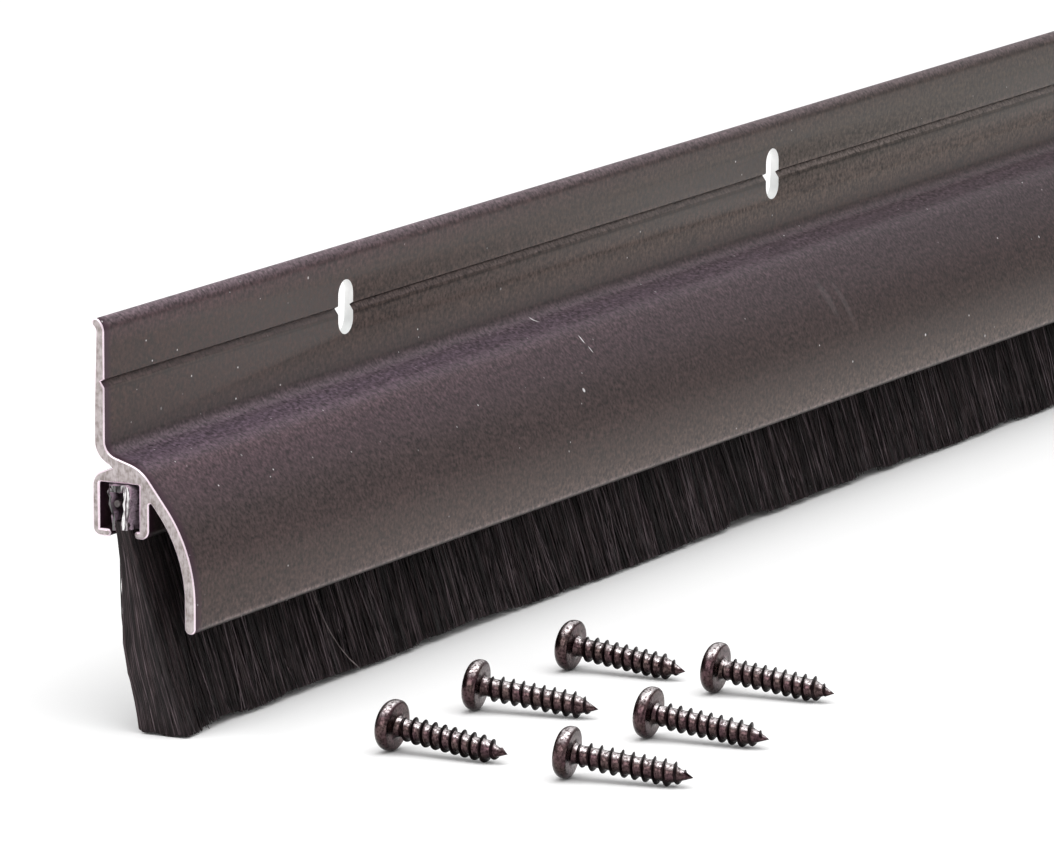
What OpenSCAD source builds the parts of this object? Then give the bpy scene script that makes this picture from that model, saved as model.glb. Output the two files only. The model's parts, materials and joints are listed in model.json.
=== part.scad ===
// Brush door sweep with a drip cap: an extruded rail that screws to a door, a strip brush in the
// channel at its back, and six pan head screws that lie loose on the floor in front of it.
// +X runs along the rail, -Y is the weather side, and Y = 0 is the plane of the door's face.
// The origin is on that plane, halfway along the rail, on the flat back of the brush channel.

/* [Rail] */
// Length of the rail
rail_len = 914.4; // [610:0.1:1220]
// Door's face to the skirt's outer face
rail_depth = 17.9; // [17:0.1:20]
// Slot line to the skirt's bottom edge
skirt_drop = 37.8; // [36:0.1:44]
// Wall thickness of the drip skirt
skirt_t = 1.85; // [1.4:0.05:2]
// Radius of the skirt's outer curve
skirt_r = 24; // [20:0.5:26]
// Angle of the skirt's straight run below level
skirt_fall = 52; // [48:1:56]
// Radius of the brow, where the rail turns down into the skirt
brow_r = 6.5; // [5.5:0.1:7]
// Length of the nearly level run between the cove and the brow
brow_run = 2.75; // [2.4:0.05:3]
// Angle of that run below level
brow_fall = 17; // [12:1:20]
// Radius of the cove under the screw flange
cove_r = 2.6; // [2.2:0.1:3]

/* [Screw flange] */
// Door's face to the flange's front face
flange_face = 2.1; // [2:0.05:2.4]
// Flange thickness at the top
flange_t = 1.4; // [1.2:0.05:1.5]
// Thicker land at the flange's foot
foot_t = 1.78; // [1.6:0.02:1.9]
// Radius of the lip that turns back to the door at the top
lip_r = 2.6; // [2.4:0.1:2.8]
// Angle that the lip turns through
lip_turn = 50; // [45:1:52]
// Height of the lip's bend above the slot line
lip_z = 7.55; // [7:0.05:9]
// Depth of the centring groove
groove_d = 0.65; // [0.3:0.05:0.9]
// Groove's upper flank and lower flank
groove_flanks = [0.5, 0.95]; // [0.3:0.05:1.2]

/* [Screw slots] */
// Number of slots, and of screws
slot_count = 6; // [6:1:6]
// Rail's end to the first slot's centre
slot_end = 76.2; // [50:0.1:80]
// Width of a slot
slot_w = 4.8; // [4.4:0.1:5.2]
// Length of a slot, end to end
slot_l = 8.75; // [8:0.05:9.5]

/* [Brush channel] */
// Outer width of the channel
channel_w = 9.8; // [9.6:0.1:10]
// Wall on the door's side
back_wall = 1.2; // [1.1:0.05:1.4]
// Wall on the skirt's side
front_wall = 1.65; // [1.4:0.05:1.8]
// Slot line to the channel's ceiling
ceiling_drop = 15.45; // [15.3:0.05:15.7]
// Height inside the channel
channel_h = 7.25; // [7.1:0.05:7.4]
// Thickness of the two lips that hold the brush
keep_t = 1.15; // [1:0.05:1.3]
// Gap between those lips, and the distance from the door's face to its middle
mouth_w = 4.15; // [4:0.05:4.3]
mouth_mid = 5.2; // [5.1:0.05:5.3]

/* [Strip brush] */
// Width of the folded backing across its fold
backing_w = 5; // [4.8:0.05:5.2]
// Width across its two edges, which rest on the channel's lips
edges_w = 4.6; // [4.4:0.05:4.7]
// Height of the backing
backing_h = 6.5; // [6.2:0.1:6.6]
// Sheet thickness of the backing
backing_t = 0.6; // [0.4:0.05:0.7]
// Core wire's diameter
wire_d = 1.2; // [1:0.1:1.3]
// How far the brush stands out of each end of the rail
brush_over = 1.2; // [0:0.1:3]
// Length of bristle below the skirt's edge
brush_show = 16; // [10:0.1:20]
// Thickness of the bristles at their tips
fan_w = 8.6; // [6:0.1:9]
// How far the tips lean out from the channel's mouth
fan_lean = 7.8; // [4:0.1:8]
// How much higher the outermost tips end than the middle ones
tip_arch = 0.6; // [0:0.1:2]

/* [Screws] */
// Length under the head
screw_len = 19.05; // [16:0.05:22]
// Outside diameter of the thread
thread_d = 4.17; // [4:0.01:4.4]
// Root diameter of the thread
root_d = 2.9; // [2.6:0.05:3]
// Thread pitch
pitch = 1.69; // [1.5:0.01:1.8]
// Head diameter
head_d = 8; // [7.6:0.1:8.4]
// Head height
head_h = 2.5; // [2.4:0.1:3.1]
// Plain neck under the head
neck = 1.1; // [0.8:0.1:1.5]
// Length of the gimlet point
point = 3.4; // [3:0.1:4.5]

/* [Hidden] */
slot_line = 19.3;     // the screw slots' centre line above the origin
play = 0.12;          // clearance between the backing and the channel
fit = 0.02;           // clearance inside the brush
arc_step = 4;         // degrees of arc to one facet of the rail
turn_sides = 14;      // facets to one turn of the screw's thread
bronze = [0.30, 0.27, 0.26];
zinc = [0.62, 0.62, 0.62];
black = [0.08, 0.07, 0.07];

slot_pitch = (rail_len - 2 * slot_end) / (slot_count - 1);
channel_foot = -ceiling_drop - channel_h - keep_t;
tips_z = -skirt_drop - brush_show;
brush_len = rail_len + 2 * brush_over;

// Outlines are drawn as [distance out from the door, height above the slot line], and along_rail
// and from_slot_line turn them to the part's own frame.
function dir(a) = [cos(a), sin(a)];
function arc(c, r, a0, a1) =
    let (n = max(2, ceil(abs(a1 - a0) / arc_step)))
    [for (i = [0 : n]) c + r * dir(a0 + (a1 - a0) * i / n)];

module from_slot_line() {
    translate([0, 0, slot_line])
        children();
}

module along_rail(length) {
    rotate([90, 0, 90])
        linear_extrude(height = length, center = true)
            mirror([1, 0])
                children();
}

// ---- Rail ----

cove_z = -9.1;
cove_c = [flange_face + cove_r, cove_z];
brow_start = cove_c + cove_r * dir(270 - brow_fall) + brow_run * dir(-brow_fall);
brow_c = brow_start - brow_r * dir(90 - brow_fall);
brow_end = brow_c + brow_r * dir(90 - skirt_fall);
skirt_top_u = rail_depth - skirt_r * (1 - cos(90 - skirt_fall));
skirt_run = (skirt_top_u - brow_end[0]) / cos(skirt_fall);
skirt_top = brow_end + skirt_run * dir(-skirt_fall);
skirt_c = skirt_top - skirt_r * dir(90 - skirt_fall);

// The flange's front, from the tip of the lip down to the cove
lip_c = [flange_face - lip_r, lip_z];
lip_cap_r = flange_t / 2;
lip_cap_c = lip_c + (lip_r - lip_cap_r) * dir(lip_turn);
flange_front = concat(
    arc(lip_cap_c, lip_cap_r, lip_turn + 180, lip_turn),
    arc(lip_c, lip_r, lip_turn, 0),
    [
        [flange_face, groove_flanks[0]],
        [flange_face - groove_d, 0],
        [flange_face, -groove_flanks[1]]
    ]
);

// The cove, the brow and the skirt's two sides, round its lower edge and back up to the crotch
skirt_in_r = skirt_r - skirt_t;
crotch_r = 0.3;
crotch_half = (90 - skirt_fall) / 2;
skirt_in_top = skirt_c + skirt_in_r * dir(90 - skirt_fall);
crotch = skirt_in_top + (skirt_in_top[0] - channel_w) / cos(skirt_fall) * dir(180 - skirt_fall);
crotch_c = crotch + crotch_r / sin(crotch_half) * dir(-90 + crotch_half);
skirt = concat(
    arc(cove_c, cove_r, 180, 270 - brow_fall),
    arc(brow_c, brow_r, 90 - brow_fall, 90 - skirt_fall),
    arc(skirt_c, skirt_r, 90 - skirt_fall, 0),
    arc([rail_depth - skirt_t / 2, -skirt_drop + skirt_t / 2], skirt_t / 2, 0, -180),
    arc(skirt_c, skirt_in_r, 0, 90 - skirt_fall),
    arc(crotch_c, crotch_r, 90 - skirt_fall, 180)
);

// The channel, from its front wall round both lips to the door's side
foot_r = 1.4;
keep_r = keep_t / 2;
inner_r = 0.35;
inner_back = back_wall;
inner_front = channel_w - front_wall;
keep_z = channel_foot + keep_r;
floor_z = channel_foot + keep_t;
channel = concat(
    arc([channel_w - foot_r, channel_foot + foot_r], foot_r, 0, -90),
    arc([mouth_mid + mouth_w / 2 + keep_r, keep_z], keep_r, -90, -270),
    [[inner_front, floor_z]],
    arc([inner_front - inner_r, -ceiling_drop - inner_r], inner_r, 0, 90),
    arc([inner_back + inner_r, -ceiling_drop - inner_r], inner_r, 90, 180),
    [[inner_back, floor_z]],
    arc([mouth_mid - mouth_w / 2 - keep_r, keep_z], keep_r, 90, -90),
    arc([foot_r, channel_foot + foot_r], foot_r, -90, -180)
);

// The back: the channel's shoulder, the back of the cove, and the flange's back up to the lip
shoulder_r = 2.5;
shoulder_rise = 19;
shoulder_c = [shoulder_r, -16.2];
shoulder_tip = [3.45, -13.24];
cove_back_r = 3.92;
flange_foot = flange_face - foot_t;
back = concat(
    arc(shoulder_c, shoulder_r, 180, 90 + shoulder_rise),
    [shoulder_tip],
    arc([flange_foot + cove_back_r, cove_z], cove_back_r, 250, 180),
    [[flange_foot, cove_z + 4]],
    arc(lip_c, lip_r - flange_t, 0, lip_turn)
);

module screw_slot() {
    slot_r = slot_w / 2;
    cutter = 4 * flange_face;
    half_run = slot_l / 2 - slot_r;
    rotate([90, 0, 0])
        linear_extrude(height = cutter, center = true) {
            square([slot_w, 2 * half_run], center = true);
            for (end = [-1, 1])
                translate([0, end * half_run])
                    circle(r = slot_r, $fn = 48);
        }
}

module drip_cap_rail() {
    color(bronze)
        from_slot_line()
            difference() {
                along_rail(rail_len)
                    polygon(concat(flange_front, skirt, channel, back));
                for (i = [0 : slot_count - 1])
                    translate([-rail_len / 2 + slot_end + i * slot_pitch, 0, 0])
                        screw_slot();
            }
}

// ---- Strip brush ----

backing_foot = floor_z + play;
brush_top = backing_foot + backing_h;
fold_r = 0.9;
edge_u = edges_w / 2 - backing_t;
leg_lean = atan2(backing_w / 2 - edges_w / 2, backing_h - fold_r);

// Half of the folded backing's outer side, and of the space inside it, about the brush's middle
function half_outer() = concat(
    arc([backing_w / 2 - fold_r, brush_top - fold_r], fold_r, 90, -leg_lean),
    [[edges_w / 2, backing_foot]]
);
function half_inner(gap) = concat(
    arc([backing_w / 2 - fold_r, brush_top - fold_r], fold_r - backing_t - gap, 90, -leg_lean),
    [[edge_u - gap, backing_foot]]
);
function back_to_front(points) = [for (i = [len(points) - 1 : -1 : 0]) points[i]];
function mirrored(points) = [for (p = points) [-p[0], p[1]]];
function at_mouth(points) = [for (p = points) p + [mouth_mid, 0]];

module brush_backing() {
    color(zinc)
        from_slot_line()
            along_rail(brush_len)
                polygon(at_mouth(concat(
                    half_outer(),
                    back_to_front(half_inner(0)),
                    mirrored(half_inner(0)),
                    back_to_front(mirrored(half_outer()))
                )));
}

wire_drop = 1.5;
wire_z = brush_top - backing_t - wire_drop;

module at_wire(length, r) {
    translate([0, -mouth_mid, wire_z])
        rotate([0, 90, 0])
            cylinder(h = length, r = r, center = true, $fn = 32);
}

module core_wire() {
    color(zinc)
        from_slot_line()
            at_wire(brush_len, wire_d / 2);
}

// The bristles spread from the backing's edges to their tips, lean out from the door, and end on
// a low arch, because the ones that lean most reach down least.
fan_steps = 10;
arch_steps = 8;
fan_h = backing_foot - tips_z;
fan_end = 1 - tip_arch / fan_h;
function fan_mid(t) = fan_lean * pow(t, 1.1);
function fan_half(t) = edge_u - fit + (fan_w / 2 - edge_u) * pow(t, 0.9);
function fan_side(side) = [
    for (i = [1 : fan_steps])
        let (t = fan_end * i / fan_steps)
        [fan_mid(t) + side * fan_half(t), backing_foot - fan_h * t]
];
function tips() = [
    for (i = [1 : arch_steps - 1])
        let (across = 1 - 2 * i / arch_steps)
        [fan_mid(1) + across * fan_half(1), tips_z + tip_arch * across * across]
];

module bristles() {
    color(black)
        from_slot_line()
            difference() {
                along_rail(brush_len)
                    polygon(at_mouth(concat(
                        half_inner(fit),
                        fan_side(1),
                        tips(),
                        back_to_front(fan_side(-1)),
                        back_to_front(mirrored(half_inner(fit)))
                    )));
                at_wire(2 * brush_len, wire_d / 2 + fit);
            }
}

// ---- Screws ----

// The thread is one skin that winds up the core. The last point of each rib meets the first point
// of the rib one turn on, and a fan to the axis closes each end.
root_r = root_d / 2;
crest_r = thread_d / 2;
thread_top = screw_len - neck;
thread_start = 0.35;
last_rib = round((thread_top - thread_start) / pitch * turn_sides);
rib = [0, 0.32, 0.44, 0.54, 0.66];           // where a rib's points stand, as shares of the pitch
swell = [0, 0.35, 1, 1, 0.35];               // and how much of the thread's height each one has

function rib_z(i, k) = thread_start + pitch * (i / turn_sides + rib[k]);
function run_in(z) = min(1, max(0, z / point));
function run_out(z) = min(1, max(0, (thread_top - z) / pitch));
function rib_r(z, k) =
    root_r * (0.1 + 0.9 * run_in(z)) + (crest_r - root_r) * swell[k] * run_in(z) * run_out(z);
function rib_index(i, k) = k < len(rib) ? i * len(rib) + k : (i + turn_sides) * len(rib);

module thread() {
    tip_index = (last_rib + 1) * len(rib);
    points = concat(
        [
            for (i = [0 : last_rib], k = [0 : len(rib) - 1])
                let (z = rib_z(i, k), flat = rib_r(z, k) * dir(360 * i / turn_sides))
                [flat[0], flat[1], z]
        ],
        [[0, 0, 0], [0, 0, rib_z(last_rib, 0)]]
    );
    skin = [
        for (i = [0 : last_rib - 1], k = [0 : len(rib) - 1])
            if (rib_index(i + 1, k + 1) < tip_index)
                let (
                    a = rib_index(i, k),
                    b = rib_index(i + 1, k),
                    c = rib_index(i + 1, k + 1),
                    d = rib_index(i, k + 1)
                )
                each [[a, c, b], [a, d, c]]
    ];
    low_edge = concat(
        [for (i = [0 : turn_sides]) rib_index(i, 0)],
        [for (k = [len(rib) - 1 : -1 : 1]) rib_index(0, k)]
    );
    high_edge = concat(
        [for (i = [last_rib - turn_sides : last_rib]) rib_index(i, len(rib) - 1)],
        [for (k = [len(rib) - 2 : -1 : 0]) rib_index(last_rib, k)]
    );
    function fan(edge, apex, up) = [
        for (i = [0 : len(edge) - 1])
            let (j = (i + 1) % len(edge))
            up ? [edge[i], apex, edge[j]] : [edge[i], edge[j], apex]
    ];
    polyhedron(points, concat(skin, fan(low_edge, tip_index, false), fan(high_edge, tip_index + 1, true)));
}

// Pan head: a short straight rim, rounded shoulders and a low crown, with a cross recess
rim_h = 1.0;
crown_r = 9;
module head() {
    shoulder = head_h - rim_h;
    difference() {
        rotate_extrude($fn = 64)
            polygon(concat(
                [[0, 0], [head_d / 2, 0], [head_d / 2, rim_h]],
                arc([head_d / 2 - shoulder, rim_h], shoulder, 0, 72),
                [[0, head_h]]
            ));
        for (turn = [0, 90])
            rotate(turn)
                translate([0, 0, head_h])
                    cube([4.3, 0.9, 2 * 1.6], center = true);
    }
}

module screw() {
    translate([0, 0, screw_len])
        head();
    translate([0, 0, thread_top - pitch / 2])
        cylinder(h = neck + pitch / 2 + 0.2, r = root_r + 0.1, $fn = 32);
    thread();
}

// A loose screw rests on the rim of its head and on its last full crest. Each one lies where it
// was put down: head's distance from the rail's end and from the door's face, turn, and spin.
recline = atan((head_d / 2 - crest_r) / (screw_len - point));
lay = [
    [6.3, 49.6, -0.7, 30],
    [38.2, 47.1, 8.5, 105],
    [71.6, 46, 2, 150],
    [67.2, 73.8, 4, 225],
    [33, 79.6, 3.6, 285],
    [2.3, 81.7, 8.2, 330]
];

module lying_screw(i) {
    place = lay[i - 1];
    color(bronze)
        from_slot_line()
            translate([place[0] - rail_len / 2, -place[1], tips_z + head_d / 2 * cos(recline)])
                rotate([0, recline - 90, place[2] - 90])
                    rotate(place[3])
                        translate([0, 0, -screw_len])
                            screw();
}

module screw_1() { lying_screw(1); }
module screw_2() { lying_screw(2); }
module screw_3() { lying_screw(3); }
module screw_4() { lying_screw(4); }
module screw_5() { lying_screw(5); }
module screw_6() { lying_screw(6); }

drip_cap_rail();
brush_backing();
core_wire();
bristles();
screw_1();
screw_2();
screw_3();
screw_4();
screw_5();
screw_6();
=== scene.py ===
"""A brush door sweep: a bronze drip-cap rail, the strip brush in its channel and six loose screws.

Lengths are written in millimetres, as in the part's own source, and mm() turns them to metres. A point
of an outline is (distance out from the door, height above the slot line), and place() turns it to the
row frame.
"""

import json
import math

import bmesh
import bpy
import numpy as np
from mathutils import Matrix, Vector


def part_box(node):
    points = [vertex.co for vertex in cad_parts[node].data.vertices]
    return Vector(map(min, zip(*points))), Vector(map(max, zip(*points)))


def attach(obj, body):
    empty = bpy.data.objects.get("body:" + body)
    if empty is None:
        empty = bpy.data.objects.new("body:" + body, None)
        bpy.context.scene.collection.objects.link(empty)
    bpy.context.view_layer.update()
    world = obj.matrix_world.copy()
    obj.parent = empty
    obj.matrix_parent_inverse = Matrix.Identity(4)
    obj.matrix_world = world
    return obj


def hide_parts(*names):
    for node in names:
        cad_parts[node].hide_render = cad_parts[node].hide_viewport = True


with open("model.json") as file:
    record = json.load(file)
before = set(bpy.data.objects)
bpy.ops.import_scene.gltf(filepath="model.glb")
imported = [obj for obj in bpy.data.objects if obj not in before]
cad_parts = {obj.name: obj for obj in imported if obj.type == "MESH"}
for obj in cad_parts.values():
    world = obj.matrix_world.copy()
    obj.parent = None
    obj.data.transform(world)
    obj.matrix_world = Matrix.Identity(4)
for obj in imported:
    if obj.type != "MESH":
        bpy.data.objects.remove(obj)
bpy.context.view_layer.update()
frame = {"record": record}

# ---- Places, from the frame ----

MM = 0.001
mounts = {m["name"]: m for m in frame["record"]["mounts"]}
slots = [Vector(m["pos_m"]) for name, m in sorted(mounts.items()) if name.startswith("screw_slot")]
rail_low, rail_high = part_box("drip_cap_rail")
brush_low, brush_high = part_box("bristles")
backing_low, backing_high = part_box("brush_backing")
wire_low, wire_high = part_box("core_wire")
NEAR_END = rail_low.x
FAR_END = rail_high.x
SLOT_LINE = slots[0].z
FLOOR = brush_low.z
SEED = 36


def mm(value):
    return value * MM


def height(z):
    """Height above the slot line, in mm, of a height in the row frame."""
    return (z - SLOT_LINE) / MM


def place(x, u, z):
    """A point of the row frame: x in metres, u out from the door and z above the slot line in mm."""
    return Vector((x, -mm(u), SLOT_LINE + mm(z)))


def smooth(t):
    t = np.clip(t, 0, 1)
    return t * t * (3 - 2 * t)


# ---- Camera, from the rail's near end ----

AZIMUTH = -62.193
ELEVATION = 10.613
ROLL = 0.118
DISTANCE = 1.4712
ASIDE = 0.06623
BELOW = 0.00794
LENS = 330.3


def make_camera():
    azimuth, elevation = math.radians(AZIMUTH), math.radians(ELEVATION)
    ahead = Vector((
        -math.sin(azimuth) * math.cos(elevation),
        math.cos(azimuth) * math.cos(elevation),
        -math.sin(elevation),
    ))
    right = ahead.cross(Vector((0, 0, 1))).normalized()
    up = right.cross(ahead)
    turn = Matrix.Rotation(math.radians(ROLL), 3, "Z")
    camera = bpy.data.objects.new("camera", bpy.data.cameras.new("camera"))
    camera.data.lens = LENS
    camera.data.clip_end = 100
    rotation = Matrix((right, up, -ahead)).transposed() @ turn
    where = place(NEAR_END, 0, 0) - DISTANCE * ahead + ASIDE * right - BELOW * up
    camera.matrix_world = Matrix.Translation(where) @ rotation.to_4x4()
    bpy.context.scene.collection.objects.link(camera)
    bpy.context.scene.camera = camera


# ---- Materials ----

class Material:
    """A node material, with short ways to add the nodes that this file uses."""

    def __init__(self, name, color, roughness, metallic=0.0, specular=0.5):
        self.data = bpy.data.materials.new(name)
        self.data.use_nodes = True
        self.data.diffuse_color = (*color, 1)
        self.tree = self.data.node_tree
        self.shader = self.tree.nodes["Principled BSDF"]
        self.shader.inputs["Base Color"].default_value = (*color, 1)
        self.shader.inputs["Roughness"].default_value = roughness
        self.shader.inputs["Metallic"].default_value = metallic
        self.shader.inputs["Specular IOR Level"].default_value = specular
        self.object_space = self.add("ShaderNodeTexCoord").outputs["Object"]

    def add(self, kind, **settings):
        node = self.tree.nodes.new(kind)
        for name, value in settings.items():
            setattr(node, name, value)
        return node

    def feed(self, node, **inputs):
        """Sets a node's inputs, each to a number, a colour or another node's output."""
        for name, value in inputs.items():
            socket = node.inputs[name.replace("_", " ")]
            if isinstance(value, bpy.types.NodeSocket):
                self.tree.links.new(value, socket)
            else:
                socket.default_value = value
        return node

    def stretched(self, scale, turn=(0, 0, 0)):
        node = self.add("ShaderNodeMapping")
        node.inputs["Scale"].default_value = scale
        node.inputs["Rotation"].default_value = [math.radians(a) for a in turn]
        self.feed(node, Vector=self.object_space)
        return node.outputs[0]

    def noise(self, scale, detail=2.0, turn=(0, 0, 0)):
        """Noise whose scale is in cells a metre along each axis."""
        node = self.feed(self.add("ShaderNodeTexNoise"), Vector=self.stretched(scale, turn), Scale=1.0)
        node.inputs["Detail"].default_value = detail
        return node.outputs["Fac"]

    def cells(self, scale):
        node = self.add("ShaderNodeTexVoronoi", feature="F1")
        return self.feed(node, Vector=self.stretched(scale), Scale=1.0)

    def ramp(self, value, low, high, to_low=0.0, to_high=1.0):
        node = self.add("ShaderNodeMapRange", clamp=True)
        self.feed(node, Value=value, From_Min=low, From_Max=high, To_Min=to_low, To_Max=to_high)
        return node.outputs[0]

    def math(self, operation, a, b=0.0):
        node = self.add("ShaderNodeMath", operation=operation)
        for socket, value in zip(node.inputs, (a, b)):
            if isinstance(value, bpy.types.NodeSocket):
                self.tree.links.new(value, socket)
            else:
                socket.default_value = value
        return node.outputs[0]

    def mix(self, share, a, b):
        node = self.add("ShaderNodeMix", data_type="RGBA")
        for name, value in (("Factor_Float", share), ("A_Color", a), ("B_Color", b)):
            socket = next(s for s in node.inputs if s.identifier == name)
            if isinstance(value, bpy.types.NodeSocket):
                self.tree.links.new(value, socket)
            else:
                socket.default_value = value if name == "Factor_Float" else (*value, 1)
        return next(s for s in node.outputs if s.identifier == "Result_Color")

    def bands(self, value, stops):
        """A colour that runs through stops, a list of (value, colour) in rising order."""
        low, high = stops[0][0], stops[-1][0]
        node = self.feed(self.add("ShaderNodeValToRGB"), Fac=self.ramp(value, low, high))
        elements = node.color_ramp.elements
        elements[0].color = (*stops[0][1], 1)
        elements[-1].color = (*stops[-1][1], 1)
        for at, color in stops[1:-1]:
            elements.new((at - low) / (high - low)).color = (*color, 1)
        return node.outputs["Color"]

    def scaled(self, color, factor):
        node = self.add("ShaderNodeVectorMath", operation="SCALE")
        self.feed(node, Scale=factor)
        self.tree.links.new(color, node.inputs[0])
        return node.outputs[0]

    def facing(self, axis):
        """How far the surface faces along an axis, from -1 to 1."""
        normal = self.add("ShaderNodeNewGeometry").outputs["Normal"]
        return self.feed(self.add("ShaderNodeSeparateXYZ"), Vector=normal).outputs[axis]

    def along(self, axis):
        return self.feed(self.add("ShaderNodeSeparateXYZ"), Vector=self.object_space).outputs[axis]

    def to_end(self, low, high):
        """How far it is along X, in metres, to the nearer of a piece's two ends."""
        x = self.along("X")
        return self.math("MINIMUM", self.math("SUBTRACT", x, low), self.math("SUBTRACT", high, x))

    def near(self, value, middle, reach):
        """1 where value is middle, falling to 0 at reach from it."""
        return self.ramp(self.math("ABSOLUTE", self.math("SUBTRACT", value, middle)), 0, reach, 1, 0)

    def specks(self, density, radius, share):
        """1 in the middle of scattered round specks; share is how many of the cells hold one."""
        cell = self.cells((density, density, density))
        chance = self.feed(self.add("ShaderNodeSeparateColor"), Color=cell.outputs["Color"]).outputs[0]
        inside = self.ramp(cell.outputs["Distance"], radius * 0.6, radius, 1, 0)
        return self.math("MULTIPLY", inside, self.math("LESS_THAN", chance, share))

    def scratch(self, where, radii, turn):
        """1 along the middle of one long thin mark, an ellipsoid where it meets the surface."""
        node = self.add("ShaderNodeMapping", vector_type="TEXTURE")
        node.inputs["Location"].default_value = where
        node.inputs["Rotation"].default_value = [math.radians(a) for a in turn]
        node.inputs["Scale"].default_value = [mm(r) for r in radii]
        self.feed(node, Vector=self.object_space)
        ball = self.add("ShaderNodeTexGradient", gradient_type="SPHERICAL")
        self.feed(ball, Vector=node.outputs[0])
        return self.ramp(ball.outputs["Fac"], 0.1, 0.5)

    def bump(self, value, depth, strength=1.0):
        node = self.add("ShaderNodeBump")
        self.feed(node, Height=value, Distance=depth, Strength=strength)
        self.feed(self.shader, Normal=node.outputs[0])

    def color(self, value):
        self.feed(self.shader, Base_Color=value)

    def roughness(self, value):
        self.feed(self.shader, Roughness=value)


# The anodising's tone at each height over the slot line, in mm: by the near end, and along the rail, with
# painted light in it.
# Painted highlights on the lip, groove edges, cove, brow and skirt foot, and painted shade between them and
# below the groove; the two columns differ as the light falls differently along the rail.
RAIL_TONES_AND_PAINTED_LIGHT = [
    (-38.0, (0.086, 0.060, 0.055), (0.110, 0.084, 0.075)),
    (-37.1, (0.190, 0.148, 0.142), (0.195, 0.158, 0.148)),
    (-36.6, (0.086, 0.060, 0.055), (0.110, 0.084, 0.075)),
    (-35.0, (0.073, 0.049, 0.044), (0.090, 0.066, 0.057)),
    (-32.0, (0.061, 0.039, 0.034), (0.063, 0.043, 0.037)),
    (-27.0, (0.067, 0.042, 0.040), (0.059, 0.038, 0.034)),
    (-22.0, (0.064, 0.042, 0.042), (0.058, 0.036, 0.036)),
    (-17.0, (0.081, 0.049, 0.058), (0.065, 0.043, 0.048)),
    (-14.0, (0.103, 0.063, 0.075), (0.077, 0.053, 0.061)),
    (-12.0, (0.142, 0.098, 0.134), (0.099, 0.068, 0.083)),
    (-11.0, (0.126, 0.089, 0.107), (0.088, 0.061, 0.068)),
    (-9.5, (0.048, 0.031, 0.031), (0.047, 0.030, 0.027)),
    (-6.0, (0.056, 0.034, 0.030), (0.094, 0.069, 0.059)),
    (-2.9, (0.056, 0.034, 0.030), (0.088, 0.066, 0.057)),
    (-2.4, (0.055, 0.034, 0.030), (0.070, 0.053, 0.045)),
    (-1.0, (0.055, 0.034, 0.030), (0.061, 0.047, 0.040)),
    (-0.8, (0.085, 0.058, 0.056), (0.145, 0.117, 0.107)),
    (-0.1, (0.085, 0.058, 0.056), (0.145, 0.117, 0.107)),
    (0.05, (0.120, 0.082, 0.078), (0.190, 0.150, 0.135)),
    (0.36, (0.120, 0.082, 0.078), (0.190, 0.150, 0.135)),
    (0.45, (0.052, 0.032, 0.028), (0.098, 0.077, 0.067)),
    (0.85, (0.052, 0.032, 0.028), (0.090, 0.071, 0.062)),
    (1.10, (0.052, 0.032, 0.028), (0.070, 0.055, 0.047)),
    (5.0, (0.055, 0.032, 0.028), (0.066, 0.050, 0.041)),
    (8.2, (0.076, 0.043, 0.047), (0.062, 0.043, 0.037)),
    (9.6, (0.190, 0.138, 0.160), (0.160, 0.121, 0.128)),
]
# Scratches: mm from the near end, out and up, half lengths across, through and along, turn, and strength
SCRATCHES = [
    ((137.4, 3.7, -11.4), (0.30, 1.2, 1.2), (-65, 0, 20), 1.0),
    ((142.2, 10.0, -14.9), (0.22, 0.8, 1.1), (-38, 0, 18), 1.0),
    ((142.9, 11.3, -16.6), (0.18, 0.8, 0.9), (-38, 0, 18), 0.8),
    ((226.0, 14.0, -20.5), (1.6, 1.5, 5.0), (-28, 0, 20), 0.035),
    ((231.0, 14.6, -22.5), (1.4, 1.5, 6.0), (-26, 0, 20), 0.035),
    ((133.7, 14.9, -21.6), (0.50, 0.50, 0.50), (0, 0, 0), 1.0),
]


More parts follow.
